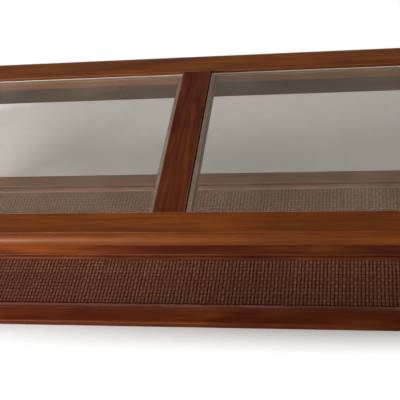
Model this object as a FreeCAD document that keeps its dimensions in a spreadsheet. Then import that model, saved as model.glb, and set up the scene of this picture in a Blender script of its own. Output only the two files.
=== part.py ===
# Open two-tier display table: a glass-topped frame over a woven rattan shelf.
# X runs along the table, Y from front to back and Z up from the floor under its middle.
import FreeCAD, Part
import math
import os
import Sketcher

# Driving dimensions in millimetres, one cell of the sheet each
SIZES = {
    "table_length": 1400,
    "table_depth": 550,
    "table_height": 440,
    "top_thickness": 29,
    "top_rail_width": 63,
    "centre_rail_width": 61.5,
    "nosing_step": 1,
    "nosing_flat": 1,
    "rebate_width": 10,
    "rebate_depth": 12,
    "glass_thickness": 6,
    "glass_gap": 1.5,
    "glass_arris": 0.8,
    "strip_width": 7.5,
    "strip_thickness": 1,
    "strip_gap": 1.5,
    "dowel_radius": 4,
    "dowel_length": 40,
    "dowel_first": 32,
    "dowel_pitch": 22,
    "lap_screw_radius": 1.75,
    "lap_screw_spread": 36,
    "lap_screw_bite": 8,
    "lap_head_radius": 3.4,
    "lap_head_height": 2.2,
    "apron_setback": 25,
    "apron_thickness": 21,
    "apron_height": 62,
    "apron_bead_radius": 4.5,
    "apron_bead_proud": 3,
    "apron_quirk": 4,
    "apron_tenon_thickness": 9,
    "apron_tenon_shoulder": 10,
    "apron_tenon_gap": 4,
    "top_screw_spacing": 376,
    "top_screw_margin": 66,
    "end_screw_margin": 85,
    "top_screw_radius": 2.1,
    "top_screw_length": 30,
    "top_head_radius": 4.5,
    "top_head_height": 3,
    "pocket_radius": 5.2,
    "pocket_seat": 14,
    "bearer_width": 22,
    "bearer_height": 42,
    "bearer_tenon_thickness": 9,
    "bearer_tenon_length": 8,
    "bearer_tenon_shoulder": 6,
    "leg_side": 48,
    "leg_setback": 22,
    "leg_edge_radius": 4,
    "glide_radius": 11,
    "glide_thickness": 4,
    "glide_arris": 1,
    "glide_nail_radius": 1.6,
    "glide_nail_length": 16,
    "shelf_drop": 333,
    "shelf_setback": 47,
    "shelf_rail_width": 38,
    "shelf_rail_thickness": 18,
    "shelf_edge_radius": 5,
    "shelf_ledge_width": 18,
    "shelf_ledge_depth": 10,
    "shelf_tenon_inset": 2,
    "shelf_tenon_width": 10,
    "shelf_tenon_height": 8,
    "shelf_tenon_gap": 1,
    "weave_thickness": 3,
    "weave_gap": 1,
    "shelf_bead_width": 13,
    "shelf_bead_height": 3,
    "shelf_bead_gap": 3.5,
    "pin_radius": 0.7,
    "pin_length": 11,
    "batten_width": 30,
    "batten_spacing": 300,
    "batten_tenon_length": 8,
    "batten_tenon_height": 4,
    "batten_tenon_shoulder": 4,
    "joint_clearance": 0.2,
    "overrun": 2,
}
# Counts and angles
LONG_BEAD_PINS = 8
END_BEAD_PINS = 4
POCKET_LEAN = 22.0
MITRE_ANGLE = 45.0
QUARTER_TURN = 90.0


class Size:
    """A length together with the sheet formula that gives it."""

    def __init__(self, value, formula):
        self.value = value
        self.formula = formula

    def __add__(self, other):
        other = as_size(other)
        return Size(self.value + other.value, f"({self.formula} + {other.formula})")

    def __sub__(self, other):
        other = as_size(other)
        return Size(self.value - other.value, f"({self.formula} - {other.formula})")

    def __radd__(self, other):
        return as_size(other) + self

    def __rsub__(self, other):
        return as_size(other) - self

    def __mul__(self, share):
        return Size(self.value * share, f"({self.formula} * {share!r})")

    def __truediv__(self, share):
        return Size(self.value / share, f"({self.formula} / {share!r})")

    def __neg__(self):
        return self * -1


def as_size(amount):
    return amount if isinstance(amount, Size) else Size(amount, repr(amount))


class Cells:
    """The sheet's cells by name."""

    def __init__(self, sizes):
        for name, value in sizes.items():
            setattr(self, name, Size(value, f"Sizes.{name}"))


doc = FreeCAD.newDocument("DisplayTable")
sheet = doc.addObject("Spreadsheet::Sheet", "Sizes")
for row, (alias, value) in enumerate(SIZES.items(), start=1):
    sheet.set(f"A{row}", alias)
    sheet.set(f"B{row}", str(value))
    sheet.setAlias(f"B{row}", alias)
doc.recompute()
cell = Cells(SIZES)
nodes = []

# Places that several pieces share
half_length = cell.table_length / 2
half_depth = cell.table_depth / 2
top_underside = cell.table_height - cell.top_thickness
ledge_level = cell.table_height - cell.rebate_depth
lip_thickness = cell.top_thickness - cell.rebate_depth
top_rail_total = cell.top_rail_width + cell.rebate_width
apron_middle = cell.apron_setback + cell.apron_thickness / 2
leg_reach = cell.leg_setback + cell.leg_side
leg_inner_x = half_length - leg_reach
leg_inner_y = half_depth - leg_reach
shelf_top = cell.table_height - cell.shelf_drop
shelf_bottom = shelf_top - cell.shelf_rail_thickness
shelf_ledge_thickness = cell.shelf_rail_thickness - cell.shelf_ledge_depth
shelf_ledge_level = shelf_bottom + shelf_ledge_thickness
shelf_rail_total = cell.shelf_rail_width + cell.shelf_ledge_width
shelf_wall = cell.shelf_setback + cell.shelf_rail_width
shelf_wall_x = half_length - shelf_wall
shelf_wall_y = half_depth - shelf_wall
bead_setback = shelf_wall + cell.shelf_bead_gap
lean_sine = math.sin(math.radians(POCKET_LEAN))
lean_cosine = math.cos(math.radians(POCKET_LEAN))
mitre_cosine = math.cos(math.radians(MITRE_ANGLE))

# The four sides, each with the turn that brings a piece's inward direction to it
SIDE_TURNS = {"front": 0, "back": 180, "left": -90, "right": 90}
LONG_SIDES = ("front", "back")
END_SIDES = ("left", "right")


def place(thing, point, turn):
    """Puts a thing at a point of sheet lengths, turned by a rotation."""
    thing.Placement = FreeCAD.Placement(FreeCAD.Vector(), turn)
    for axis, amount in zip("xyz", point):
        thing.setExpression(f"Placement.Base.{axis}", as_size(amount).formula)


def about(axis, angle):
    return FreeCAD.Rotation(FreeCAD.Vector(*axis), angle)


def towards(direction):
    return FreeCAD.Rotation(FreeCAD.Vector(0, 0, 1), FreeCAD.Vector(*direction))


def bind(thing, **amounts):
    for name, amount in amounts.items():
        thing.setExpression(name, as_size(amount).formula)


def on_side(side, along, inward, up):
    """A point of one side of the table, measured in from the top's outer edge."""
    if side == "front":
        return (along, inward - half_depth, up)
    if side == "back":
        return (-along, half_depth - inward, up)
    if side == "left":
        return (inward - half_length, -along, up)
    return (half_length - inward, along, up)


def side_turn(side):
    return about((0, 0, 1), SIDE_TURNS[side])


def new_body(label):
    body = doc.addObject("PartDesign::Body", label)
    body.Label = label
    return body


def new_node(label):
    body = new_body(label)
    nodes.append(body)
    return body


def block(body, kind, size, corner, turn=0.0):
    """An added or cut box, with its low corner at a point."""
    box = body.newObject(f"PartDesign::{kind}Box", f"{body.Name}_block")
    bind(box, Length=size[0], Width=size[1], Height=size[2])
    place(box, corner, about((0, 0, 1), turn))
    return box


def rod(body, kind, radius, height, start, direction=(0, 0, 1)):
    """An added or cut cylinder that runs from a point in a direction."""
    cylinder = body.newObject(f"PartDesign::{kind}Cylinder", f"{body.Name}_rod")
    bind(cylinder, Radius=radius, Height=height)
    place(cylinder, start, towards(direction))
    return cylinder


def step_along(point, direction, amount):
    """The point a length further on in a direction."""
    return tuple(start + amount * share for start, share in zip(point, direction))


def pin_point(sketch, geometry, position, point, axes="xy"):
    """Holds a point of the sketch at sheet lengths."""
    for axis, amount in zip("xy", point):
        if axis in axes:
            amount = as_size(amount)
            kind = f"Distance{axis.upper()}"
            hold = Sketcher.Constraint(kind, -1, 1, geometry, position, amount.value)
            sketch.setExpression(f"Constraints[{sketch.addConstraint(hold)}]", amount.formula)


def flat_vector(point):
    return FreeCAD.Vector(as_size(point[0]).value, as_size(point[1]).value)


def outline(body, plane_role, start, steps):
    """A closed sketch outline. A step is a point, or a centre and a point for a quarter arc."""
    plane = next(item for item in body.Origin.OriginFeatures if item.Role == plane_role)
    sketch = body.newObject("Sketcher::SketchObject", f"{body.Name}_outline")
    sketch.AttachmentSupport = [(plane, "")]
    sketch.MapMode = "FlatFace"
    ends = []
    here = start
    for step in steps:
        is_arc = isinstance(step[0], tuple)
        target = step[1] if is_arc else step
        begin = flat_vector(here)
        finish = flat_vector(target)
        if is_arc:
            centre = flat_vector(step[0])
            first, last = begin - centre, finish - centre
            forward = first.cross(last).z > 0
            low, high = (first, last) if forward else (last, first)
            circle = Part.Circle(centre, FreeCAD.Vector(0, 0, 1), first.Length)
            low_angle = math.atan2(low.y, low.x)
            high_angle = math.atan2(high.y, high.x)
            piece = sketch.addGeometry(Part.ArcOfCircle(circle, low_angle, high_angle))
            ends.append((piece, 1, 2) if forward else (piece, 2, 1))
            pin_point(sketch, piece, 3, step[0])
            free_axis = "x" if abs(last.x) < abs(last.y) else "y"
            pin_point(sketch, piece, ends[-1][2], target, free_axis)
        else:
            piece = sketch.addGeometry(Part.LineSegment(begin, finish))
            ends.append((piece, 1, 2))
            pin_point(sketch, piece, 2, target)
        here = target
    for before, after in zip(ends, ends[1:] + ends[:1]):
        sketch.addConstraint(Sketcher.Constraint("Coincident", before[0], before[2], after[0], after[1]))
    return sketch


def bar(body, start, steps, length):
    """A bar along X whose section is an outline, with its middle at the origin."""
    pad = body.newObject("PartDesign::Pad", f"{body.Name}_bar")
    pad.Profile = outline(body, "YZ_Plane", start, steps)
    pad.SideType = "Symmetric"
    bind(pad, Length=length)


def mitre_ends(body, length, width, height):
    """Cuts both ends of a bar to 45 degrees."""
    long_side = width * 2
    through = height + cell.overrun * 2
    block(body, "Subtractive", (long_side, width, through), (-(length / 2), 0, -cell.overrun), MITRE_ANGLE)
    block(body, "Subtractive", (width, long_side, through), (length / 2, 0, -cell.overrun), MITRE_ANGLE)


def mortise(body, size, corner):
    block(body, "Subtractive", size, corner)


def group(label, template, places):
    """One node of several copies of a small piece, each a solid of its own."""
    copies = []
    for count, (point, turn) in enumerate(places, start=1):
        copy = doc.addObject("App::Link", f"{label}_{count}")
        copy.LinkedObject = template
        place(copy, point, turn)
        copies.append(copy)
    gathered = doc.addObject("Part::Compound", label)
    gathered.Label = label
    gathered.Links = copies
    nodes.append(gathered)


def spread(count, spacing):
    """Places on both sides of the middle, a spacing apart."""
    return [spacing * (index - (count - 1) / 2) for index in range(count)]


def apron_screws(side):
    """Where the pocket screws stand along one apron: near both legs and, on a long one, by its middle."""
    if side in LONG_SIDES:
        outer = leg_inner_x - cell.top_screw_margin
        return [-outer, *spread(2, cell.top_screw_spacing), outer]
    outer = leg_inner_y - cell.end_screw_margin
    return [-outer, outer]


def lap_screw_places():
    return spread(2, cell.lap_screw_spread)


# Top frame: mitred rails with a rounded nosing outside and a rebate for the glass inside
def top_rail(side):
    body = new_node(f"top_rail_{side}")
    length = cell.table_length if side in LONG_SIDES else cell.table_depth
    thickness = cell.top_thickness
    radius = (thickness - cell.nosing_step - cell.nosing_flat) / 2
    shoulder = thickness - cell.nosing_step
    rail = cell.top_rail_width
    steps = [
        (top_rail_total, 0),
        (top_rail_total, lip_thickness),
        (rail, lip_thickness),
        (rail, thickness),
        (radius, thickness),
        (radius, shoulder),
        ((radius, shoulder - radius), (0, shoulder - radius)),
        (0, radius),
        ((radius, radius), (radius, 0)),
    ]
    bar(body, (radius, 0), steps, length)
    mitre_ends(body, length, top_rail_total, thickness)
    dowel_holes(body, length)
    for along in apron_screws(side):
        start = step_along((along, apron_middle, 0), (0, lean_sine, -lean_cosine), cell.overrun)
        depth = cell.top_screw_length - cell.pocket_seat + cell.joint_clearance + cell.overrun
        radius_cut = cell.top_screw_radius + cell.joint_clearance
        rod(body, "Subtractive", radius_cut, depth, start, (0, -lean_sine, lean_cosine))
    if side in LONG_SIDES:
        lap_screw_holes(body)
    place(body, on_side(side, 0, 0, top_underside), side_turn(side))


def dowel_holes(body, length):
    """Dowel holes square to both mitres of a top rail."""
    radius = cell.dowel_radius + cell.joint_clearance
    depth = cell.dowel_length / 2 + cell.overrun
    for hand in (-1, 1):
        direction = (-hand * mitre_cosine, -mitre_cosine, 0)
        for inward in (cell.dowel_first, cell.dowel_first + cell.dowel_pitch):
            centre = ((length / 2 - inward) * hand, inward, cell.top_thickness / 2)
            start = step_along(centre, direction, -cell.overrun)
            rod(body, "Subtractive", radius, depth, start, direction)


def lap_screw_holes(body):
    """Countersunk screw holes up through the lip under each end of the centre rail."""
    inward = cell.top_rail_width + cell.rebate_width / 2
    shank = cell.lap_screw_radius + cell.joint_clearance
    head = cell.lap_head_radius + cell.joint_clearance
    for along in lap_screw_places():
        start = (along, inward, -cell.overrun)
        rod(body, "Subtractive", shank, lip_thickness + cell.overrun * 2, start)
        rod(body, "Subtractive", head, cell.lap_head_height + cell.overrun, start)


def top_centre_rail():
    """A tee-shaped rail whose upper part laps over the ledges of the long rails."""
    body = new_node("top_centre_rail")
    upper_length = cell.table_depth - cell.top_rail_width * 2
    lower_length = cell.table_depth - top_rail_total * 2
    lower_width = cell.centre_rail_width + cell.rebate_width * 2
    block(
        body,
        "Additive",
        (lower_width, lower_length, lip_thickness),
        (-(lower_width / 2), -(lower_length / 2), 0),
    )
    block(
        body,
        "Additive",
        (cell.centre_rail_width, upper_length, cell.rebate_depth),
        (-(cell.centre_rail_width / 2), -(upper_length / 2), lip_thickness),
    )
    reach = half_depth - cell.top_rail_width - cell.rebate_width / 2
    for across in (reach, -reach):
        for along in lap_screw_places():
            start = (along, across, lip_thickness - cell.overrun)
            depth = cell.lap_screw_bite + cell.joint_clearance + cell.overrun
            rod(body, "Subtractive", cell.lap_screw_radius + cell.joint_clearance, depth, start)
    place(body, (0, 0, top_underside), about((0, 0, 1), 0))


def mitre_dowels():
    dowel = new_body("dowel_pattern")
    rod(dowel, "Additive", cell.dowel_radius, cell.dowel_length, (0, 0, 0))
    places = []
    for hand_x in (-1, 1):
        for hand_y in (-1, 1):
            direction = (hand_x * mitre_cosine, -hand_y * mitre_cosine, 0)
            for inward in (cell.dowel_first, cell.dowel_first + cell.dowel_pitch):
                corner_x = (half_length - inward) * hand_x
                corner_y = (half_depth - inward) * hand_y
                centre = (corner_x, corner_y, top_underside + cell.top_thickness / 2)
                start = step_along(centre, direction, -(cell.dowel_length / 2))
                places.append((start, towards(direction)))
    group("mitre_dowels", dowel, places)


def lap_screws():
    screw = new_body("lap_screw_pattern")
    rod(screw, "Additive", cell.lap_screw_radius, lip_thickness + cell.lap_screw_bite, (0, 0, 0))
    rod(screw, "Additive", cell.lap_head_radius, cell.lap_head_height, (0, 0, 0))
    inward = cell.top_rail_width + cell.rebate_width / 2
    places = []
    for side in LONG_SIDES:
        for along in lap_screw_places():
            places.append((on_side(side, along, inward, top_underside), side_turn(side)))
    group("lap_screws", screw, places)


# Glass: loose panes on bedding strips
def glass_pane(hand, low_x, high_x):
    """A pane between two rebate walls."""
    body = new_node(f"glass_pane_{hand}")
    wall_y = half_depth - cell.top_rail_width
    size = (
        high_x - low_x - cell.glass_gap * 2,
        (wall_y - cell.glass_gap) * 2,
        cell.glass_thickness,
    )
    sheet_of_glass = block(body, "Additive", size, (0, 0, 0))
    doc.recompute()
    edges = [f"Edge{index}" for index in range(1, len(sheet_of_glass.Shape.Edges) + 1)]
    arris = body.newObject("PartDesign::Chamfer", f"{body.Name}_arris")
    arris.Base = (sheet_of_glass, edges)
    bind(arris, Size=cell.glass_arris)
    corner = (low_x + cell.glass_gap, cell.glass_gap - wall_y, ledge_level + cell.strip_thickness)
    place(body, corner, about((0, 0, 1), 0))


def bedding_strips(hand, low_x, high_x):
    """Four soft strips on the ledge round one pane."""
    wall_y = half_depth - cell.top_rail_width
    left = low_x + cell.strip_gap
    right = high_x - cell.strip_gap
    front = cell.strip_gap - wall_y
    back = wall_y - cell.strip_gap
    width = cell.strip_width
    inner_depth = back - front - width * 2
    corners = [
        ((right - left, width), (left, front)),
        ((right - left, width), (left, back - width)),
        ((width, inner_depth), (left, front + width)),
        ((width, inner_depth), (right - width, front + width)),
    ]
    strips = []
    for count, (size, corner) in enumerate(corners, start=1):
        strip = doc.addObject("Part::Box", f"bedding_strip_{hand}_{count}")
        bind(strip, Length=size[0], Width=size[1], Height=cell.strip_thickness)
        place(strip, (corner[0], corner[1], ledge_level), about((0, 0, 1), 0))
        strips.append(strip)
    gathered = doc.addObject("Part::Compound", f"bedding_strips_{hand}")
    gathered.Label = gathered.Name
    gathered.Links = strips
    nodes.append(gathered)


# Aprons: tenoned into the legs, with a proud bead along the lower edge, a quirk above it and screw pockets
apron_tenon_middle = cell.apron_setback - cell.leg_setback + cell.apron_thickness / 2
apron_tenon_reach = apron_tenon_middle + cell.apron_tenon_thickness / 2 + cell.apron_tenon_gap
apron_tenon_length = cell.leg_side - apron_tenon_reach
apron_tenon_height = cell.apron_height - cell.apron_tenon_shoulder * 2


def apron(side):
    body = new_node(f"apron_{side}")
    span = (leg_inner_x if side in LONG_SIDES else leg_inner_y) * 2
    thickness = cell.apron_thickness
    height = cell.apron_height
    bead = cell.apron_bead_radius
    bead_front = -cell.apron_bead_proud
    bead_middle = bead + bead_front
    quirk_top = bead * 2 + cell.apron_quirk
    steps = [
        (thickness, 0),
        (thickness, height),
        (0, height),
        (0, quirk_top),
        (bead_middle, quirk_top),
        (bead_middle, bead * 2),
        ((bead_middle, bead), (bead_front, bead)),
        ((bead_middle, bead), (bead_middle, 0)),
    ]
    bar(body, (bead_middle, 0), steps, span)
    tenon_size = (span + apron_tenon_length * 2, cell.apron_tenon_thickness, apron_tenon_height)
    tenon_side = (thickness - cell.apron_tenon_thickness) / 2
    tenon_corner = (-(tenon_size[0] / 2), tenon_side, cell.apron_tenon_shoulder)
    block(body, "Additive", tenon_size, tenon_corner)
    for along in apron_screws(side):
        screw_pocket(body, along)
    if side in LONG_SIDES:
        bearer_mortise(body)
    place(body, on_side(side, 0, cell.apron_setback, top_underside - height), side_turn(side))


def screw_pocket(body, along):
    """A slanted pocket in the apron's inner face and the screw hole above it."""
    upward = (0, -lean_sine, lean_cosine)
    downward = (0, lean_sine, -lean_cosine)
    exit_point = (along, cell.apron_thickness / 2, cell.apron_height)
    seat = step_along(exit_point, downward, cell.pocket_seat)
    reach = cell.apron_thickness / (2 * lean_sine) + cell.pocket_radius * (lean_cosine / lean_sine)
    pocket_length = reach - cell.pocket_seat + cell.overrun
    rod(body, "Subtractive", cell.pocket_radius, pocket_length, seat, downward)
    shank = cell.top_screw_radius + cell.joint_clearance
    start = step_along(seat, downward, cell.overrun)
    rod(body, "Subtractive", shank, cell.pocket_seat + cell.overrun * 2, start, upward)


def bearer_mortise(body):
    gap = cell.joint_clearance
    width = cell.bearer_tenon_thickness + gap * 2
    depth = cell.bearer_tenon_length + gap
    height = cell.bearer_height - cell.bearer_tenon_shoulder * 2 + gap * 2
    low = cell.apron_height - cell.bearer_height + cell.bearer_tenon_shoulder - gap
    mortise(body, (width, depth + cell.overrun, height), (-(width / 2), cell.apron_thickness - depth, low))


def cross_bearer():
    """The bar under the centre rail that ties the long aprons together."""
    body = new_node("cross_bearer")
    length = (half_depth - cell.apron_setback - cell.apron_thickness) * 2
    corner = (-(cell.bearer_width / 2), -(length / 2), 0)
    block(body, "Additive", (cell.bearer_width, length, cell.bearer_height), corner)
    tenon = cell.bearer_tenon_thickness
    tenon_height = cell.bearer_height - cell.bearer_tenon_shoulder * 2
    tenon_length = length + cell.bearer_tenon_length * 2
    tenon_corner = (-(tenon / 2), -(tenon_length / 2), cell.bearer_tenon_shoulder)
    block(body, "Additive", (tenon, tenon_length, tenon_height), tenon_corner)
    place(body, (0, 0, top_underside - cell.bearer_height), about((0, 0, 1), 0))


def top_screws():
    """Pocket screws up through the aprons into the top rails."""
    screw = new_body("top_screw_pattern")
    rod(screw, "Additive", cell.top_screw_radius, cell.top_screw_length, (0, 0, 0))
    rod(screw, "Additive", cell.top_head_radius, cell.top_head_height, (0, 0, -cell.top_head_height))
    drop = cell.pocket_seat * lean_cosine
    shift = cell.pocket_seat * lean_sine
    lean = about((1, 0, 0), POCKET_LEAN)
    places = []
    for side in LONG_SIDES + END_SIDES:
        for along in apron_screws(side):
            point = on_side(side, along, apron_middle + shift, top_underside - drop)
            places.append((point, side_turn(side).multiply(lean)))
    group("top_screws", screw, places)


# Legs: square posts with rounded edges, mortised for the aprons and the shelf rails
shelf_tenon_low = cell.shelf_setback - cell.leg_setback + cell.shelf_tenon_inset
shelf_tenon_length = cell.leg_side - shelf_tenon_low - cell.shelf_tenon_width - cell.shelf_tenon_gap
shelf_tenon_base = (cell.shelf_rail_thickness - cell.shelf_tenon_height) / 2


def leg(label, corner_shares, turn):
    body = new_node(label)
    side = cell.leg_side
    edge = cell.leg_edge_radius
    far = side - edge
    steps = [
        (far, 0),
        ((far, edge), (side, edge)),
        (side, far),
        ((far, far), (far, side)),
        (edge, side),
        ((edge, far), (0, far)),
        (0, edge),
        ((edge, edge), (edge, 0)),
    ]
    post = body.newObject("PartDesign::Pad", f"{label}_post")
    post.Profile = outline(body, "XY_Plane", (edge, 0), steps)
    bind(post, Length=top_underside - cell.glide_thickness)
    leg_mortises(body)
    gap = cell.joint_clearance
    nail_hole = cell.glide_nail_length + gap + cell.overrun
    middle = side / 2
    rod(body, "Subtractive", cell.glide_nail_radius + gap, nail_hole, (middle, middle, -cell.overrun))
    corner_x = (half_length - cell.leg_setback) * corner_shares[0]
    corner_y = (half_depth - cell.leg_setback) * corner_shares[1]
    place(body, (corner_x, corner_y, cell.glide_thickness), about((0, 0, 1), turn))


def leg_mortises(body):
    """Two apron mortises and two shelf mortises, alike on the two inner faces."""
    gap = cell.joint_clearance
    apron_size = (apron_tenon_length + gap, cell.apron_tenon_thickness, apron_tenon_height)
    apron_low = apron_tenon_middle - cell.apron_tenon_thickness / 2
    apron_base = top_underside - cell.apron_height + cell.apron_tenon_shoulder - cell.glide_thickness
    shelf_size = (shelf_tenon_length + gap, cell.shelf_tenon_width, cell.shelf_tenon_height)
    shelf_base = shelf_bottom + shelf_tenon_base - cell.glide_thickness
    for size, low, base in ((apron_size, apron_low, apron_base), (shelf_size, shelf_tenon_low, shelf_base)):
        depth = size[0] + cell.overrun
        width = size[1] + gap * 2
        height = size[2] + gap * 2
        start = cell.leg_side - size[0]
        mortise(body, (depth, width, height), (start, low - gap, base - gap))
        mortise(body, (width, depth, height), (low - gap, start, base - gap))


def foot_glide(label, corner_shares):
    """A round glide with a nail that goes up into the leg."""
    body = new_node(label)
    pad = rod(body, "Additive", cell.glide_radius, cell.glide_thickness, (0, 0, 0))
    doc.recompute()
    rims = []
    for index, edge in enumerate(pad.Shape.Edges, start=1):
        if edge.Closed and edge.CenterOfMass.z < cell.glide_arris.value:
            rims.append(f"Edge{index}")
    arris = body.newObject("PartDesign::Chamfer", f"{label}_arris")
    arris.Base = (pad, rims)
    bind(arris, Size=cell.glide_arris)
    nail_length = cell.glide_thickness / 2 + cell.glide_nail_length
    rod(body, "Additive", cell.glide_nail_radius, nail_length, (0, 0, cell.glide_thickness / 2))
    leg_middle = cell.leg_setback + cell.leg_side / 2
    corner_x = (half_length - leg_middle) * corner_shares[0]
    corner_y = (half_depth - leg_middle) * corner_shares[1]
    place(body, (corner_x, corner_y, 0), about((0, 0, 1), 0))


# Shelf: thin rails with a recessed ledge, stub tenons into the legs, battens under the weave
def shelf_rail(side):
    body = new_node(f"shelf_rail_{side}")
    is_long = side in LONG_SIDES
    span = (leg_inner_x if is_long else leg_inner_y) * 2
    thickness = cell.shelf_rail_thickness
    rail = cell.shelf_rail_width
    edge = cell.shelf_edge_radius
    steps = [
        (shelf_rail_total, 0),
        (shelf_rail_total, shelf_ledge_thickness),
        (rail, shelf_ledge_thickness),
        (rail, thickness),
        (edge, thickness),
        ((edge, thickness - edge), (0, thickness - edge)),
        (0, edge),
        ((edge, edge), (edge, 0)),
    ]
    bar(body, (edge, 0), steps, span)
    tenon_size = (span + shelf_tenon_length * 2, cell.shelf_tenon_width, cell.shelf_tenon_height)
    tenon_corner = (-(tenon_size[0] / 2), cell.shelf_tenon_inset, shelf_tenon_base)
    block(body, "Additive", tenon_size, tenon_corner)
    if is_long:
        cut_corners(body, span, rail, cell.shelf_setback + shelf_rail_total - leg_reach)
        batten_mortises(body)
    else:
        cut_corners(body, span, leg_reach - cell.shelf_setback, shelf_wall - leg_reach)
    place(body, on_side(side, 0, cell.shelf_setback, shelf_bottom), side_turn(side))


def cut_corners(body, span, inward, length):
    """Clears the inner part of both ends of a shelf rail for the rail that meets it there."""
    depth = shelf_rail_total - inward + cell.overrun
    height = cell.shelf_rail_thickness + cell.overrun * 2
    size = (length + cell.overrun, depth, height)
    block(body, "Subtractive", size, (span / 2 - length, inward, -cell.overrun))
    block(body, "Subtractive", size, (-(span / 2) - cell.overrun, inward, -cell.overrun))


def batten_mortises(body):
    gap = cell.joint_clearance
    width = cell.batten_width - cell.batten_tenon_shoulder * 2 + gap * 2
    depth = cell.batten_tenon_length + gap
    height = cell.batten_tenon_height + gap * 2
    base = (shelf_ledge_thickness - cell.batten_tenon_height) / 2 - gap
    for along in spread(3, cell.batten_spacing):
        size = (width, depth + cell.overrun, height)
        mortise(body, size, (along - width / 2, shelf_rail_total - depth, base))


def shelf_batten(label, along):
    body = new_node(label)
    length = (half_depth - cell.shelf_setback - shelf_rail_total) * 2
    corner = (-(cell.batten_width / 2), -(length / 2), 0)
    block(body, "Additive", (cell.batten_width, length, shelf_ledge_thickness), corner)
    tenon_width = cell.batten_width - cell.batten_tenon_shoulder * 2
    tenon_length = length + cell.batten_tenon_length * 2
    tenon_base = (shelf_ledge_thickness - cell.batten_tenon_height) / 2
    tenon_corner = (-(tenon_width / 2), -(tenon_length / 2), tenon_base)
    block(body, "Additive", (tenon_width, tenon_length, cell.batten_tenon_height), tenon_corner)
    place(body, (along, 0, shelf_bottom), about((0, 0, 1), 0))


def woven_panel():
    """The rattan mat as one sheet, laid on the ledges of the shelf rails."""
    mat = doc.addObject("Part::Box", "woven_panel")
    mat.Label = "woven_panel"
    reach_x = shelf_wall_x - cell.weave_gap
    reach_y = shelf_wall_y - cell.weave_gap
    bind(mat, Length=reach_x * 2, Width=reach_y * 2, Height=cell.weave_thickness)
    place(mat, (-reach_x, -reach_y, shelf_ledge_level), about((0, 0, 1), 0))
    nodes.append(mat)


def bead_span(side):
    wall = shelf_wall_x if side in LONG_SIDES else shelf_wall_y
    return (wall - cell.shelf_bead_gap) * 2


def shelf_bead(side):
    """A mitred strip with rounded shoulders that holds down one edge of the weave."""
    body = new_node(f"shelf_bead_{side}")
    width = cell.shelf_bead_width
    height = cell.shelf_bead_height
    far = width - height
    steps = [
        ((far, 0), (far, height)),
        (height, height),
        ((height, 0), (0, 0)),
        (width, 0),
    ]
    bar(body, (width, 0), steps, bead_span(side))
    mitre_ends(body, bead_span(side), width, height)
    level = shelf_ledge_level + cell.weave_thickness
    place(body, on_side(side, 0, bead_setback, level), side_turn(side))


def bead_pins():
    """Fine pins through the beads and the weave into the ledges."""
    pin = new_body("bead_pin_pattern")
    rod(pin, "Additive", cell.pin_radius, cell.pin_length, (0, 0, 0))
    level = shelf_ledge_level + cell.weave_thickness + cell.shelf_bead_height - cell.pin_length
    inward = bead_setback + cell.shelf_bead_width / 2
    places = []
    for side in LONG_SIDES + END_SIDES:
        count = LONG_BEAD_PINS if side in LONG_SIDES else END_BEAD_PINS
        for along in spread(count, bead_span(side) / count):
            places.append((on_side(side, along, inward, level), side_turn(side)))
    group("bead_pins", pin, places)


for side_name in LONG_SIDES + END_SIDES:
    top_rail(side_name)
    apron(side_name)
    shelf_rail(side_name)
    shelf_bead(side_name)
top_centre_rail()
mitre_dowels()
lap_screws()
centre_wall = cell.centre_rail_width / 2
end_wall = half_length - cell.top_rail_width
for hand, low_wall, high_wall in (("left", -end_wall, -centre_wall), ("right", centre_wall, end_wall)):
    glass_pane(hand, low_wall, high_wall)
    bedding_strips(hand, low_wall, high_wall)
cross_bearer()
top_screws()
leg_corner_shares = {
    "front_left": (-1, -1),
    "front_right": (1, -1),
    "back_right": (1, 1),
    "back_left": (-1, 1),
}
for quarter, (corner_name, shares) in enumerate(leg_corner_shares.items()):
    leg(f"leg_{corner_name}", shares, quarter * QUARTER_TURN)
    foot_glide(f"foot_glide_{corner_name}", shares)
for batten_name, batten_along in zip(("left", "middle", "right"), spread(3, cell.batten_spacing)):
    shelf_batten(f"shelf_batten_{batten_name}", batten_along)
woven_panel()
bead_pins()

doc.recompute()
for thing in doc.Objects:
    if "Invalid" in thing.State or "Error" in thing.State:
        raise RuntimeError(f"{thing.Label} failed: {thing.State}")
for node in nodes:
    if node.Shape.isNull() or not node.Shape.isValid() or not node.Shape.Solids:
        raise RuntimeError(f"{node.Label} has no valid solid")
os.makedirs("parts", exist_ok=True)
for node in nodes:
    node.Shape.exportStep(f"parts/{node.Label}.step")
    print(f"{node.Label}: {len(node.Shape.Solids)} solids, {node.Shape.Volume / 1000:.1f} cubic cm")
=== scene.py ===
import math

import bpy
import numpy as np
from mathutils import Matrix, Vector


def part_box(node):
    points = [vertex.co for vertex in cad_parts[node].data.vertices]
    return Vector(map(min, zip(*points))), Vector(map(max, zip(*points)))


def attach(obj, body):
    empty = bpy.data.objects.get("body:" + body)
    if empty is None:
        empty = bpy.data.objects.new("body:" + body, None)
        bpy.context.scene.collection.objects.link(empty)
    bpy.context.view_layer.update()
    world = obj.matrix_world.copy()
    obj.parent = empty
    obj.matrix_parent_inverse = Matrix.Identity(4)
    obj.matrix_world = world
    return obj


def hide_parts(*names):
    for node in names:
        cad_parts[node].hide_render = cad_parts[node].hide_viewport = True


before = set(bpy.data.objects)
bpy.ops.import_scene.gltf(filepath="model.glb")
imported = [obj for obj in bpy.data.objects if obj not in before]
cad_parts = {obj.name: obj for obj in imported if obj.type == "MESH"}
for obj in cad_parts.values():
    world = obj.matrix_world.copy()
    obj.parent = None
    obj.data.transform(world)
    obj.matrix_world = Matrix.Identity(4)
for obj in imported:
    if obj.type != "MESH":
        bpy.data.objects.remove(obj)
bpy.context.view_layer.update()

# Axes, for the run of grain and of strands.
AXIS_X = 0
AXIS_Y = 1
AXIS_Z = 2

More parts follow.
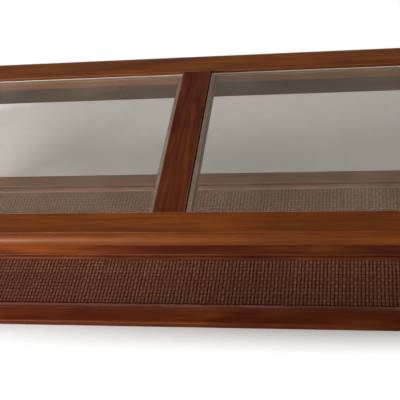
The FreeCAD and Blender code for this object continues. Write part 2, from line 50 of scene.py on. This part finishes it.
# Strands of the weave, across the shelf and along it. The width is a share of the pitch. The thickness,
# the swing up and down, and the heights where the painted shade low in the weave goes from dark to full
# tone are shares of the panel's thickness. The first strand starts over the others at 1, and under them
# at -1.
STRANDS_ACROSS = {
    "pieces": ("weave_across_left", "weave_across_right"),
    "finish": "cane_across",
    "count": 150,
    "spaced_on": AXIS_X,
    "run_on": AXIS_Y,
    "width": 0.86,
    "thickness": 0.46,
    "swing": 0.2,
    "first_over": 1.0,
    "dark_at": 0.6,
    "full_at": 0.86,
    "tones": ((0.12, 0.046, 0.029), (0.15, 0.06, 0.039), (0.18, 0.078, 0.052)),
}
STRANDS_ALONG = {
    "pieces": ("weave_along_front", "weave_along_back"),
    "finish": "cane_along",
    "count": 40,
    "spaced_on": AXIS_Y,
    "run_on": AXIS_X,
    "width": 0.995,
    "thickness": 0.36,
    "swing": 0.31,
    "first_over": -1.0,
    "dark_at": 0.68,
    "full_at": 1.0,
    "tones": ((0.135, 0.052, 0.032), (0.165, 0.067, 0.043), (0.195, 0.085, 0.056)),
}
RINGS_PER_CROSSING = 3
TONE_SEED = 7

# A strand's six-sided section: shares of its width and of its thickness.
SECTION = ((-0.5, -0.1), (-0.3, 0.38), (0.3, 0.38), (0.5, -0.1), (0.3, -0.5), (-0.3, -0.5))

# Rounding of sanded corners: lengths in metres, and the turns between faces that count as flat and
# as a corner.
WOOD_ROUNDING = 0.0007
GLASS_ROUNDING = 0.0013
ROUNDING_STEPS = 2
MERGE_DISTANCE = 0.00002
FLAT_ANGLE = math.radians(0.4)
CORNER_ANGLE = math.radians(40.0)

# The photograph's camera: its place in metres and its directions, then the picture's width and the
# focal length in pixels, and the sensor's width in millimetres.
CAMERA_PLACE = Vector((0.3719, -1.2764, 1.5913))
CAMERA_RIGHT = Vector((0.98085, 0.12596, -0.1486))
CAMERA_UP = Vector((0.01109, 0.72582, 0.68776))
PICTURE_WIDTH = 400
FOCAL_PIXELS = 859
SENSOR_WIDTH = 36.0

# Wood under lacquer: tones of its bands, how pale its corners are made, partly as wear and partly as a
# painted highlight, how mottled it is, its gloss, and a shift that picks another stretch of the same
# wood.
EMBER = {
    "dark": (0.108, 0.0235, 0.002),
    "middle": (0.16, 0.037, 0.002),
    "light": (0.205, 0.0505, 0.003),
    "rub_and_highlight": 0.45,
    "mottled": 0.35,
    "gloss": 0.3,
    "figure": (-16.4, 5.2, 19.2),
}
RUSSET = {
    "dark": (0.05, 0.007, 0.002),
    "middle": (0.09, 0.0165, 0.003),
    "light": (0.14, 0.032, 0.005),
    "rub_and_highlight": 0.75,
    "mottled": 0.7,
    "gloss": 0.1,
    "figure": (0.0, 0.0, 0.0),
}
CENTRE = {
    "dark": (0.056, 0.01, 0.005),
    "middle": (0.1, 0.023, 0.007),
    "light": (0.157, 0.045, 0.008),
    "rub_and_highlight": 0.75,
    "mottled": 0.7,
    "gloss": 0.06,
    "figure": (-16.4, 5.2, 19.2),
}
ROSY = {
    "dark": (0.085, 0.022, 0.012),
    "middle": (0.14, 0.045, 0.028),
    "light": (0.19, 0.07, 0.045),
    "rub_and_highlight": 0.9,
    "mottled": 0.4,
    "gloss": 0.1,
    "figure": (0.0, 0.0, 0.0),
}

# Scales of the patterns in wood, cane and steel: along the grain, then across it.
BAND_SCALE = (2.2, 17.0)
STREAK_SCALE = (7.0, 130.0)
PORE_SCALE = (60.0, 1500.0)
CLOUD_SCALE = (6.0, 24.0)
FLECK_SCALE = (90.0, 900.0)
FIBRE_SCALE = (25.0, 1400.0)
SCRATCH_SCALE = (300.0, 3000.0)

# Wood: what streaks, pores, painted groove shade and mottling make of its dark tone, how far the pale
# corners (wear and a painted highlight) and the painted groove shade reach from a corner in metres, the
# pale corners where they are least, as a share of the most, and how rough the faces are that look down.
STREAK_SHADE = 0.75
PORE_SHADE = 0.45
# Painted shade in grooves, as a share of the dark tone.
PAINTED_GROOVE_SHADE = 0.15
MOTTLED_SHADE = (1.1, 0.85, 1.1)
RUB_AND_HIGHLIGHT_RADIUS = 0.0024
GROOVE_REACH = 0.012
LEAST_RUB_AND_HIGHLIGHT = 0.4
ROUGHNESS_BELOW = 0.8
# Pale colour of corners: partly wear, partly a painted highlight.
RUB_AND_HIGHLIGHT_COLOUR = (0.36, 0.17, 0.095)
WOOD_GLOSS_TINT = (1.0, 0.8, 0.65, 1.0)

# Beech of the dowels.
BEECH_FLECK = (0.42, 0.26, 0.13)
BEECH_PALE = (0.52, 0.34, 0.18)
BEECH_STAIN = (0.36, 0.2, 0.09)

# Cane: darker blotches and fibres, painted shade low in the weave, and painted shade that grows
# towards the front, between two places along the table's depth, in metres.
CANE_BLOTCH = (0.13, 0.047, 0.028)
CANE_FIBRE = (0.1, 0.036, 0.02)
CANE_PAINTED_LOW_SHADE = (0.042, 0.0095, 0.003)
CANE_PAINTED_FRONT_SHADE = (0.03, 0.007, 0.003)
CANE_PAINTED_FRONT_SHADE_SPAN = (-0.06, -0.2)
CANE_GLOSS = 0.03
CANE_GLOSS_TINT = (1.0, 0.7, 0.5, 1.0)

# Bedding strips: they grow darker towards the back, between two places in metres.
STRIP_DARK = (0.36, 0.245, 0.18)
STRIP_PALE = (0.47, 0.33, 0.25)
STRIP_BACK_TONE = (0.17, 0.075, 0.045)
STRIP_BACK_SPAN = (0.0, 0.2)

# Glass: clean, filmed and at its ground edges, its dust, and the tint of light that passes it. The
# span is of the upward part of a face's direction, from an edge to a level face.
GLASS_CLEAN = (0.94, 0.96, 0.95)
GLASS_FILMED = (0.9, 0.92, 0.91)
GLASS_EDGE = (0.86, 0.88, 0.85)
GLASS_DUST = (0.8, 0.7, 0.52)
GROUND_EDGE = (0.5, 0.4, 0.33)
GLASS_SHADOW = (0.84, 0.86, 0.85, 1.0)
GLASS_BENDING = 1.45
EDGE_ROUGHNESS = 0.4
EDGE_POWDER = 0.6
LEVEL_SPAN = (0.6, 0.98)

# Zinc-plated steel and moulded plastic.
ZINC_DULL = (0.38, 0.37, 0.35)
ZINC_BRIGHT = (0.58, 0.57, 0.54)
PLASTIC_DARK = (0.016, 0.013, 0.011)
PLASTIC_SCUFF = (0.05, 0.045, 0.04)

# Floor: a grey disc that shows only within a rounded oblong set back behind the table, in metres, as a
# painted shadow pool, and fades at its rim into the white background.
FLOOR_RADIUS = 6.0
FLOOR_CORNERS = 64
FLOOR_DARK = (0.49, 0.445, 0.415)
FLOOR_PALE = (0.52, 0.475, 0.445)
FLOOR_ROUGHNESS = 0.9
FLOOR_GLOW = 0.03
SHADOW_POOL_HALF_LENGTH = 1.05
SHADOW_POOL_HALF_DEPTH = 0.5
SHADOW_POOL_MIDDLE = 0.261
OBLONG_POWER = 4.0
FADE_SPAN = (0.82, 0.98)

# Brightness of the studio by height, from 0 straight down to 1 straight up: the light that it gives,
# and how it looks in gloss and through glass.
WHITE = (1.0, 1.0, 1.0)
LIGHT_LEVELS = ((0.62, 0.05), (0.8, 0.44))
GLOSS_LEVELS = ((0.46, 0.3), (0.5, 1.0), (0.64, 1.0), (0.75, 0.08))
THROUGH_LEVELS = ((0.69, 1.0), (0.81, 0.2))

# Lamps: place, target and sides in metres, and power in watts.
OVERHEAD_LAMP = {
    "place": (-0.4, -0.45, 2.1),
    "target": (-0.05, -0.05, 0.4),
    "sides": (1.3, 1.0),
    "power": 19.0,
}
LOW_LEFT_LAMP = {
    "place": (-1.2, -1.0, 0.5),
    "target": (-0.3, -0.25, 0.37),
    "sides": (1.2, 0.22),
    "power": 52.0,
}


class Nodes:
    """Short ways to add nodes to a material or to the world."""

    def __init__(self, tree):
        self.tree = tree

    def put(self, socket, value):
        """Link a node's output to an input, or set a plain value on it."""
        if isinstance(value, bpy.types.NodeSocket):
            self.tree.links.new(value, socket)
        else:
            socket.default_value = value

    def add(self, kind, inputs=None, **settings):
        made = self.tree.nodes.new(kind)
        for name, value in settings.items():
            setattr(made, name, value)
        for name, value in (inputs or {}).items():
            self.put(made.inputs[name], value)
        return made

    def noise(self, vector, scale=1.0, detail=2.0, roughness=0.5, distortion=0.0):
        inputs = {
            "Vector": vector,
            "Scale": scale,
            "Detail": detail,
            "Roughness": roughness,
            "Distortion": distortion,
        }
        return self.add("ShaderNodeTexNoise", inputs).outputs["Fac"]

    def remap(self, value, span, result=(0.0, 1.0)):
        """Carry a value from one span to another, and hold it at the ends."""
        inputs = {
            "Value": value,
            "From Min": span[0],
            "From Max": span[1],
            "To Min": result[0],
            "To Max": result[1],
        }
        return self.add("ShaderNodeMapRange", inputs).outputs["Result"]

    def ramp(self, value, stops):
        """Colours by value: each stop is a place from 0 to 1 and a colour."""
        made = self.add("ShaderNodeValToRGB", {"Fac": value})
        while len(made.color_ramp.elements) < len(stops):
            made.color_ramp.elements.new(0.5)
        for element, (place, colour) in zip(made.color_ramp.elements, stops):
            element.position = place
            element.color = (*colour, 1.0)
        return made.outputs["Color"]

    def grey_ramp(self, value, levels):
        return self.ramp(value, [(place, (level, level, level)) for place, level in levels])

    def mix(self, share, first, second):
        """A mix of two colours, from the first at 0 to the second at 1."""
        made = self.add("ShaderNodeMix", data_type="RGBA")
        colours = [socket for socket in made.inputs if socket.type == "RGBA"]
        self.put(made.inputs[0], share)
        for socket, value in zip(colours, (first, second)):
            self.put(socket, value if isinstance(value, bpy.types.NodeSocket) else (*value, 1.0))
        return [socket for socket in made.outputs if socket.type == "RGBA"][0]

    def math(self, operation, first, second=0.0):
        made = self.add("ShaderNodeMath", operation=operation)
        self.put(made.inputs[0], first)
        self.put(made.inputs[1], second)
        return made.outputs[0]

    def part(self, vector, letter):
        """The X, Y or Z part of a vector."""
        return self.add("ShaderNodeSeparateXYZ", {"Vector": vector}).outputs[letter]

    def rays(self, kind):
        """1 for rays of one kind, such as Camera, Glossy, Transmission or Shadow."""
        return self.add("ShaderNodeLightPath").outputs[f"Is {kind} Ray"]


class Finish(Nodes):
    """One new material, with short ways to shade it."""

    def __init__(self, name):
        self.material = bpy.data.materials.new(name)
        self.material.use_nodes = True
        super().__init__(self.material.node_tree)
        self.shader = self.tree.nodes["Principled BSDF"]
        self.output = self.tree.nodes["Material Output"]

    def shade(self, **inputs):
        """Set inputs of the main shader, with underscores for the spaces in their names."""
        for name, value in inputs.items():
            self.put(self.shader.inputs[name.replace("_", " ")], value)

    def place(self):
        return self.add("ShaderNodeTexCoord").outputs["Object"]

    def normal(self):
        return self.add("ShaderNodeNewGeometry").outputs["Normal"]

    def stretch(self, scale, shift=(0.0, 0.0, 0.0)):
        inputs = {"Vector": self.place(), "Scale": scale, "Location": shift}
        return self.add("ShaderNodeMapping", inputs).outputs["Vector"]

    def bump(self, height, strength, distance):
        inputs = {"Height": height, "Strength": strength, "Distance": distance}
        return self.add("ShaderNodeBump", inputs).outputs["Normal"]

    def either(self, share, first, second):
        """A mix of two shaders."""
        made = self.add("ShaderNodeMixShader")
        for socket, value in zip(made.inputs, (share, first, second)):
            self.put(socket, value)
        return made.outputs["Shader"]

    def corners(self, radius, span):
        """From 0 on flat faces to 1 along outer corners, within a radius of them."""
        turned = self.add("ShaderNodeBevel", {"Radius": radius}, samples=4).outputs["Normal"]
        made = self.add("ShaderNodeVectorMath", operation="DOT_PRODUCT")
        self.put(made.inputs[0], turned)
        self.put(made.inputs[1], self.normal())
        return self.remap(made.outputs["Value"], span)

    def facing_up(self, span, result=(0.0, 1.0)):
        """A value that follows the upward part of the surface's direction over a span of it."""
        return self.remap(self.part(self.normal(), "Z"), span, result)

    def painted_crevice_shade(self, reach, span):
        """Painted shade: from 0 on open faces to 1 deep in corners and grooves, as wide as the reach.
        """
        shut = self.add("ShaderNodeAmbientOcclusion", {"Distance": reach}, samples=8).outputs["AO"]
        return self.remap(shut, span, (1.0, 0.0))


def along_grain(grain, scales):
    """Scales for the three axes, from those along and across the grain."""
    stretched = [scales[1]] * 3
    stretched[grain] = scales[0]
    return stretched


def shaded(colour, share):
    return [part * share for part in colour]


def lacquered_wood(name, grain, look):
    """Reddish-brown wood under lacquer.

    Bands, mottling, streaks and pores make its grain. Corners that don't look down are made pale,
    partly as wear and partly as a painted highlight, grooves get painted shade, and faces that look
    down are dull.
    """
    wood = Finish(name)
    figure = wood.stretch(along_grain(grain, BAND_SCALE), look["figure"])
    bands = wood.noise(figure, detail=3.0, roughness=0.55, distortion=0.9)
    fine = wood.stretch(along_grain(grain, STREAK_SCALE))
    streaks = wood.noise(fine, detail=4.0, roughness=0.6, distortion=0.3)
    pores = wood.noise(wood.stretch(along_grain(grain, PORE_SCALE)), detail=1.0)
    clouds = wood.stretch(along_grain(grain, CLOUD_SCALE), look["figure"])
    mottling = wood.noise(clouds, detail=2.0, distortion=0.8)
    smudges = wood.noise(wood.place(), scale=14.0, detail=3.0)
    dark = look["dark"]
    colour = wood.ramp(bands, ((0.34, dark), (0.5, look["middle"]), (0.66, look["light"])))
    reddish = [part * share for part, share in zip(dark, MOTTLED_SHADE)]
    mottled = wood.remap(mottling, (0.45, 0.68), (0.0, look["mottled"]))
    colour = wood.mix(mottled, colour, reddish)
    streaked = wood.remap(streaks, (0.36, 0.6), (0.65, 0.0))
    colour = wood.mix(streaked, colour, shaded(dark, STREAK_SHADE))
    porous = wood.remap(pores, (0.62, 0.74), (0.0, 0.55))
    colour = wood.mix(porous, colour, shaded(dark, PORE_SHADE))
    # Pale corners that don't look down: partly wear, partly a painted highlight.
    rub_and_highlight = wood.math("MULTIPLY", wood.corners(RUB_AND_HIGHLIGHT_RADIUS, (0.98, 0.8)), wood.facing_up((-0.35, 0.05)))
    rub_and_highlight_amount = wood.remap(smudges, (0.35, 0.65), (LEAST_RUB_AND_HIGHLIGHT * look["rub_and_highlight"], look["rub_and_highlight"]))
    colour = wood.mix(wood.math("MULTIPLY", rub_and_highlight, rub_and_highlight_amount), colour, RUB_AND_HIGHLIGHT_COLOUR)
    # Painted shade in grooves and inner corners.
    painted_groove_shade = wood.painted_crevice_shade(GROOVE_REACH, (0.28, 0.76))
    colour = wood.mix(painted_groove_shade, colour, shaded(dark, PAINTED_GROOVE_SHADE))
    polish = wood.remap(smudges, (0.3, 0.7), (0.36, 0.5))
    dull_below = wood.facing_up((-0.55, -0.1), (ROUGHNESS_BELOW, 0.0))
    wood.shade(
        Base_Color=colour,
        Roughness=wood.math("MAXIMUM", polish, dull_below),
        Normal=wood.bump(streaks, strength=0.12, distance=0.0004),
        Specular_IOR_Level=look["gloss"],
        Specular_Tint=WOOD_GLOSS_TINT,
    )
    return wood.material


def beech(name):
    """Plain pale dowel wood with short flecks."""
    wood = Finish(name)
    flecks = wood.noise(wood.stretch(along_grain(AXIS_X, FLECK_SCALE)), detail=3.0)
    broad = wood.noise(wood.place(), scale=60.0, detail=2.0)
    colour = wood.ramp(flecks, ((0.35, BEECH_FLECK), (0.62, BEECH_PALE)))
    stained = wood.remap(broad, (0.3, 0.7), (0.0, 0.35))
    wood.shade(
        Base_Color=wood.mix(stained, colour, BEECH_STAIN),
        Roughness=wood.remap(broad, (0.3, 0.7), (0.5, 0.7)),
        Normal=wood.bump(flecks, strength=0.2, distance=0.0002),
    )
    return wood.material


def stained_cane(name, grain, heights, tones):
    """Stained cane: each strand has its own tone and fine fibres.

    Painted shade darkens it low in the weave and more and more towards the front.
    """
    cane = Finish(name)
    tone = cane.add("ShaderNodeAttribute", attribute_name="strand_tone").outputs["Fac"]
    threads = cane.stretch(along_grain(grain, FIBRE_SCALE))
    fibres = cane.noise(threads, detail=3.0, roughness=0.6)
    blotches = cane.noise(cane.place(), scale=30.0, detail=3.0)
    height_shade_mask = cane.remap(cane.part(cane.place(), "Z"), heights)
    # Painted shade: darker towards the front, under the table's front rail and apron.
    depth_darkening = cane.remap(cane.part(cane.place(), "Y"), CANE_PAINTED_FRONT_SHADE_SPAN, (0.0, 0.45))
    blotched = cane.remap(blotches, (0.35, 0.7), (0.0, 0.4))
    fibrous = cane.remap(fibres, (0.4, 0.7), (0.0, 0.3))
    colour = cane.ramp(tone, ((0.0, tones[0]), (0.5, tones[1]), (1.0, tones[2])))
    colour = cane.mix(blotched, colour, CANE_BLOTCH)
    colour = cane.mix(fibrous, colour, CANE_FIBRE)
    # Painted shade: darker low in the weave.
    colour = cane.mix(height_shade_mask, CANE_PAINTED_LOW_SHADE, colour)
    cane.shade(
        Base_Color=cane.mix(depth_darkening, colour, CANE_PAINTED_FRONT_SHADE),
        Roughness=cane.remap(blotches, (0.3, 0.7), (0.42, 0.6)),
        Normal=cane.bump(fibres, strength=0.25, distance=0.0002),
        Specular_IOR_Level=CANE_GLOSS,
        Specular_Tint=CANE_GLOSS_TINT,
    )
    return cane.material


def clear_glass(name):
    """Clear float glass with a faint film of dust and frosted edges, which lets lamps through."""
    glass = Finish(name)
    dust = glass.noise(glass.place(), scale=9.0, detail=5.0, roughness=0.65)
    upward = glass.part(glass.normal(), "Z")
    edge = glass.remap(glass.math("ABSOLUTE", upward), LEVEL_SPAN, (1.0, 0.0))
    clear = glass.ramp(dust, ((0.35, GLASS_CLEAN), (0.7, GLASS_FILMED)))
    film = glass.remap(dust, (0.4, 0.75), (0.0, 0.012))
    glass.shade(
        Base_Color=glass.mix(edge, clear, GLASS_EDGE),
        Roughness=glass.math("ADD", film, glass.math("MULTIPLY", edge, EDGE_ROUGHNESS)),
        Normal=glass.bump(dust, strength=0.02, distance=0.0002),
        IOR=GLASS_BENDING,
        Transmission_Weight=1.0,
    )
    upper = glass.remap(upward, LEVEL_SPAN)
    dusty = glass.math("MULTIPLY", upper, glass.remap(dust, (0.3, 0.75), (0.028, 0.056)))
    covering = glass.math("MAXIMUM", dusty, glass.math("MULTIPLY", edge, EDGE_POWDER))
    tint = glass.mix(edge, GLASS_DUST, GROUND_EDGE)
    powder = glass.add("ShaderNodeBsdfDiffuse", {"Color": tint}).outputs["BSDF"]
    covered = glass.either(covering, glass.shader.outputs["BSDF"], powder)
    passing = glass.add("ShaderNodeBsdfTransparent", {"Color": GLASS_SHADOW}).outputs["BSDF"]
    glass.put(glass.output.inputs["Surface"], glass.either(glass.rays("Shadow"), covered, passing))
    return glass.material


def soft_strip(name):
    """Pale bedding strip, uneven in tone and darker more and more towards the back."""
    strip = Finish(name)
    blotches = strip.noise(strip.place(), scale=45.0, detail=4.0)
    fine = strip.noise(strip.place(), scale=900.0, detail=2.0)
    depth_darkening = strip.remap(strip.part(strip.place(), "Y"), STRIP_BACK_SPAN, (0.0, 0.38))
    colour = strip.ramp(blotches, ((0.35, STRIP_DARK), (0.65, STRIP_PALE)))
    strip.shade(
        Base_Color=strip.mix(depth_darkening, colour, STRIP_BACK_TONE),
        Roughness=strip.remap(blotches, (0.3, 0.7), (0.55, 0.8)),
        Normal=strip.bump(fine, strength=0.3, distance=0.0002),
    )
    return strip.material


def zinc_steel(name):
    """Zinc-plated steel with a dull, uneven bloom."""
    steel = Finish(name)
    bloom = steel.noise(steel.place(), scale=400.0, detail=4.0)
    scratches = steel.noise(steel.stretch(along_grain(AXIS_Y, SCRATCH_SCALE)), detail=2.0)
    steel.shade(
        Base_Color=steel.ramp(bloom, ((0.3, ZINC_DULL), (0.7, ZINC_BRIGHT))),
        Metallic=1.0,
        Roughness=steel.remap(bloom, (0.3, 0.7), (0.28, 0.5)),
        Normal=steel.bump(scratches, strength=0.15, distance=0.0001),
    )
    return steel.material


def moulded_plastic(name):
    """Dark moulded plastic, paler and rougher where it is scuffed."""
    plastic = Finish(name)
    texture = plastic.noise(plastic.place(), scale=1200.0, detail=2.0)
    scuffs = plastic.noise(plastic.place(), scale=160.0, detail=4.0)
    plastic.shade(
        Base_Color=plastic.ramp(scuffs, ((0.4, PLASTIC_DARK), (0.75, PLASTIC_SCUFF))),
        Roughness=plastic.remap(scuffs, (0.3, 0.7), (0.45, 0.7)),
        Normal=plastic.bump(texture, strength=0.3, distance=0.0001),
    )
    return plastic.material


def dress(names, material):
    """Put a material in every slot of the named nodes."""
    for name in names:
        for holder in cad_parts[name].material_slots:
            holder.material = material


def round_corners(names, width):
    """Round the sharp corners a little, as sanding and lacquer do."""
    for name in names:
        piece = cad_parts[name]
        joined = piece.modifiers.new("joined_corners", "WELD")
        joined.merge_threshold = MERGE_DISTANCE
        plain = piece.modifiers.new("plain_faces", "DECIMATE")
        plain.decimate_type = "DISSOLVE"
        plain.angle_limit = FLAT_ANGLE
        rounded = piece.modifiers.new("rounded_corners", "BEVEL")
        rounded.width = width
        rounded.segments = ROUNDING_STEPS
        rounded.limit_method = "ANGLE"
        rounded.angle_limit = CORNER_ANGLE
        even = piece.modifiers.new("even_shading", "WEIGHTED_NORMAL")
        even.keep_sharp = False


def strand_points(strands, places, along, heights, width, thickness):
    """Corner points of strands: places across, points along each, and a height for each ring."""
    section = np.array(SECTION)
    points = np.zeros((len(places), len(along), len(section), 3))
    points[..., strands["spaced_on"]] = places[:, None, None] + section[None, None, :, 0] * width
    points[..., strands["run_on"]] = along[None, :, None]
    points[..., AXIS_Z] = heights[:, :, None] + section[None, None, :, 1] * thickness
    return points


def strand_faces(rows, rings, corners):
    """Four-sided faces round each strand, then the six-sided ends of each strand."""
    first = np.arange(rows * rings * corners).reshape(rows, rings, corners)
    following = np.roll(first, -1, axis=2)
    sides = np.stack((first[:, :-1], following[:, :-1], following[:, 1:], first[:, 1:]), axis=-1)
    ends = np.concatenate((first[:, 0, ::-1], first[:, -1, :]))
    return sides.reshape(-1, 4).tolist() + ends.tolist()


def strand_piece(name, strands, chosen, crossings, material, tones):
    """One piece of the weave: the chosen strands of one direction, each over and under in turn."""
    low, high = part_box("woven_panel")
    across = strands["spaced_on"]
    run = strands["run_on"]
    pitch = (high[across] - low[across]) / strands["count"]
    places = low[across] + (chosen + 0.5) * pitch
    steps = np.linspace(0.0, crossings, crossings * RINGS_PER_CROSSING + 1)
    along = low[run] + steps * (high[run] - low[run]) / crossings
    depth = high.z - low.z
    signs = np.where(chosen % 2 == 0, 1.0, -1.0) * strands["first_over"]
    waves = np.cos(math.pi * (steps - 0.5))
    heights = (low.z + high.z) / 2 + strands["swing"] * depth * signs[:, None] * waves[None, :]
    width = strands["width"] * pitch
    points = strand_points(strands, places, along, heights, width, strands["thickness"] * depth)
    faces = strand_faces(len(chosen), len(along), len(SECTION))
    # With the two axes swapped the faces would look inward, so they are turned over.
    if run == AXIS_X:
        faces = [face[::-1] for face in faces]
    mesh = bpy.data.meshes.new(name)
    mesh.from_pydata(points.reshape(-1, 3).tolist(), [], faces)
    point_tones = np.repeat(tones[chosen], len(along) * len(SECTION)).astype(np.float32)
    mesh.attributes.new("strand_tone", "FLOAT", "POINT").data.foreach_set("value", point_tones)
    mesh.shade_smooth()
    mesh.materials.append(material)
    piece = bpy.data.objects.new(name, mesh)
    bpy.context.scene.collection.objects.link(piece)
    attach(piece, "table")
    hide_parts("woven_panel")


def weave():
    """The woven shelf panel, in two pieces for each direction of its strands."""
    low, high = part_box("woven_panel")
    random = np.random.default_rng(TONE_SEED)
    for strands, others in ((STRANDS_ACROSS, STRANDS_ALONG), (STRANDS_ALONG, STRANDS_ACROSS)):
        heights = [low.z + strands[key] * (high.z - low.z) for key in ("dark_at", "full_at")]
        cane = stained_cane(strands["finish"], strands["run_on"], heights, strands["tones"])
        tones = random.random(strands["count"])
        halves = np.split(np.arange(strands["count"]), 2)
        for name, chosen in zip(strands["pieces"], halves):
            strand_piece(name, strands, chosen, others["count"], cane, tones)


def finishes():
    """Give the nodes their materials, and round the corners of wood and glass.

    The woven panel has none here, because the weave takes its place.
    """
    long_top = [f"top_rail_{side}" for side in ("front", "back")]
    end_top = [f"top_rail_{side}" for side in ("left", "right")]
    long_low = [f"{kind}_{side}" for kind in ("apron", "shelf_rail") for side in ("front", "back")]
    end_low = [f"{kind}_{side}" for kind in ("apron", "shelf_rail") for side in ("left", "right")]
    cross_low = [f"shelf_batten_{place}" for place in ("left", "middle", "right")] + ["cross_bearer"]
    long_beads = [f"shelf_bead_{side}" for side in ("front", "back")]
    end_beads = [f"shelf_bead_{side}" for side in ("left", "right")]
    corners = [f"{row}_{side}" for row in ("front", "back") for side in ("left", "right")]
    legs = [f"leg_{corner}" for corner in corners]
    glides = [f"foot_glide_{corner}" for corner in corners]
    panes = ["glass_pane_left", "glass_pane_right"]
    dress(long_top, lacquered_wood("wood_top_along", AXIS_X, EMBER))
    dress(end_top, lacquered_wood("wood_top_across", AXIS_Y, EMBER))
    dress(["top_centre_rail"], lacquered_wood("wood_centre", AXIS_Y, CENTRE))
    dress(long_low, lacquered_wood("wood_low_along", AXIS_X, RUSSET))
    dress(end_low + cross_low, lacquered_wood("wood_low_across", AXIS_Y, RUSSET))
    dress(long_beads, lacquered_wood("wood_bead_along", AXIS_X, ROSY))
    dress(end_beads, lacquered_wood("wood_bead_across", AXIS_Y, ROSY))
    dress(legs, lacquered_wood("wood_upright", AXIS_Z, RUSSET))
    dress(["mitre_dowels"], beech("dowel_beech"))
    dress(panes, clear_glass("pane_glass"))
    dress(["bedding_strips_left", "bedding_strips_right"], soft_strip("bedding"))
    dress(["lap_screws", "top_screws", "bead_pins"], zinc_steel("screw_zinc"))
    dress(glides, moulded_plastic("glide_plastic"))
    top = long_top + end_top + ["top_centre_rail"]
    low = long_low + end_low + cross_low + long_beads + end_beads
    round_corners(top + low + legs, WOOD_ROUNDING)
    round_corners(panes, GLASS_ROUNDING)


def background_rays(finish):
    """1 for rays that should show the white background: from the camera, in gloss and through glass."""
    gloss = finish.math("MAXIMUM", finish.rays("Glossy"), finish.rays("Transmission"))
    return finish.math("MAXIMUM", finish.rays("Camera"), gloss)


def floor_disc():
    """The floor's flat round piece."""
    turns = [2 * math.pi * step / FLOOR_CORNERS for step in range(FLOOR_CORNERS)]
    points = [(FLOOR_RADIUS * math.cos(turn), FLOOR_RADIUS * math.sin(turn), 0.0) for turn in turns]
    mesh = bpy.data.meshes.new("floor")
    mesh.from_pydata(points, [], [list(range(FLOOR_CORNERS))])
    stage = bpy.data.objects.new("floor", mesh)
    bpy.context.scene.collection.objects.link(stage)
    return mesh


def floor():
    """A grey round floor that keeps the table's shadow.

    It shows only in a painted shadow pool set behind the table, which fades into the white background.
    """
    finish = Finish("floor_paint")
    floor_disc().materials.append(finish.material)
    grain = finish.noise(finish.place(), scale=40.0, detail=4.0)
    finish.shade(
        Base_Color=finish.ramp(grain, ((0.3, FLOOR_DARK), (0.7, FLOOR_PALE))),
        Roughness=FLOOR_ROUGHNESS,
        Specular_IOR_Level=0.0,
        Emission_Color=(*WHITE, 1.0),
        Emission_Strength=finish.math("MULTIPLY", background_rays(finish), FLOOR_GLOW),
    )
    # Painted shadow: the grey floor shows only in an oblong set behind the table, and fades to white
    # outside it.
    across = finish.math("DIVIDE", finish.part(finish.place(), "X"), SHADOW_POOL_HALF_LENGTH)
    from_middle = finish.math("SUBTRACT", finish.part(finish.place(), "Y"), SHADOW_POOL_MIDDLE)
    deep = finish.math("DIVIDE", from_middle, SHADOW_POOL_HALF_DEPTH)
    powers = [finish.math("POWER", share, OBLONG_POWER) for share in (across, deep)]
    outward = finish.math("POWER", finish.math("ADD", *powers), 1.0 / OBLONG_POWER)
    under = finish.add("ShaderNodeNewGeometry").outputs["Backfacing"]
    fade = finish.math("MAXIMUM", finish.remap(outward, FADE_SPAN), under)
    clear = finish.add("ShaderNodeBsdfTransparent").outputs["BSDF"]
    faded = finish.either(fade, finish.shader.outputs["BSDF"], clear)
    finish.put(finish.output.inputs["Surface"], faded)


def surroundings():
    """White for the background, and soft light from overhead.

    In gloss the studio is white round the table, and dimmer overhead and down towards the floor.
    """
    world = bpy.data.worlds.new("studio")
    bpy.context.scene.world = world
    world.use_nodes = True
    sky = Nodes(world.node_tree)
    direction = sky.add("ShaderNodeTexCoord").outputs["Generated"]
    height = sky.remap(sky.part(direction, "Z"), (-1.0, 1.0))
    colour = sky.grey_ramp(height, LIGHT_LEVELS)
    colour = sky.mix(sky.rays("Glossy"), colour, sky.grey_ramp(height, GLOSS_LEVELS))
    colour = sky.mix(sky.rays("Transmission"), colour, sky.grey_ramp(height, THROUGH_LEVELS))
    colour = sky.mix(sky.rays("Camera"), colour, WHITE)
    sky.put(sky.tree.nodes["Background"].inputs["Color"], colour)


def lamp(name, setting):
    """A flat lamp that points at its target."""
    data = bpy.data.lights.new(name, "AREA")
    data.shape = "RECTANGLE"
    data.size, data.size_y = setting["sides"]
    data.energy = setting["power"]
    piece = bpy.data.objects.new(name, data)
    piece.location = setting["place"]
    aim = Vector(setting["target"]) - Vector(setting["place"])
    piece.rotation_euler = aim.to_track_quat("-Z", "Y").to_euler()
    bpy.context.scene.collection.objects.link(piece)
    return piece


def lamps():
    """A soft lamp overhead, kept out of the glass's reflections, and a low one at the front left."""
    overhead = lamp("overhead", OVERHEAD_LAMP)
    overhead.visible_glossy = False
    lamp("low_left", LOW_LEFT_LAMP)


def camera():
    """The photograph's camera, set up from its place, its right and its up."""
    back = CAMERA_RIGHT.cross(CAMERA_UP).normalized()
    upright = back.cross(CAMERA_RIGHT).normalized()
    turned = Matrix((CAMERA_RIGHT.normalized(), upright, back)).transposed()
    data = bpy.data.cameras.new("photo_camera")
    data.sensor_width = SENSOR_WIDTH
    data.lens = FOCAL_PIXELS / PICTURE_WIDTH * SENSOR_WIDTH
    piece = bpy.data.objects.new("photo_camera", data)
    piece.matrix_world = Matrix.Translation(CAMERA_PLACE) @ turned.to_4x4()
    bpy.context.scene.collection.objects.link(piece)
    bpy.context.scene.camera = piece


bpy.context.scene.view_settings.view_transform = "Standard"
finishes()
weave()
floor()
surroundings()
lamps()
camera()
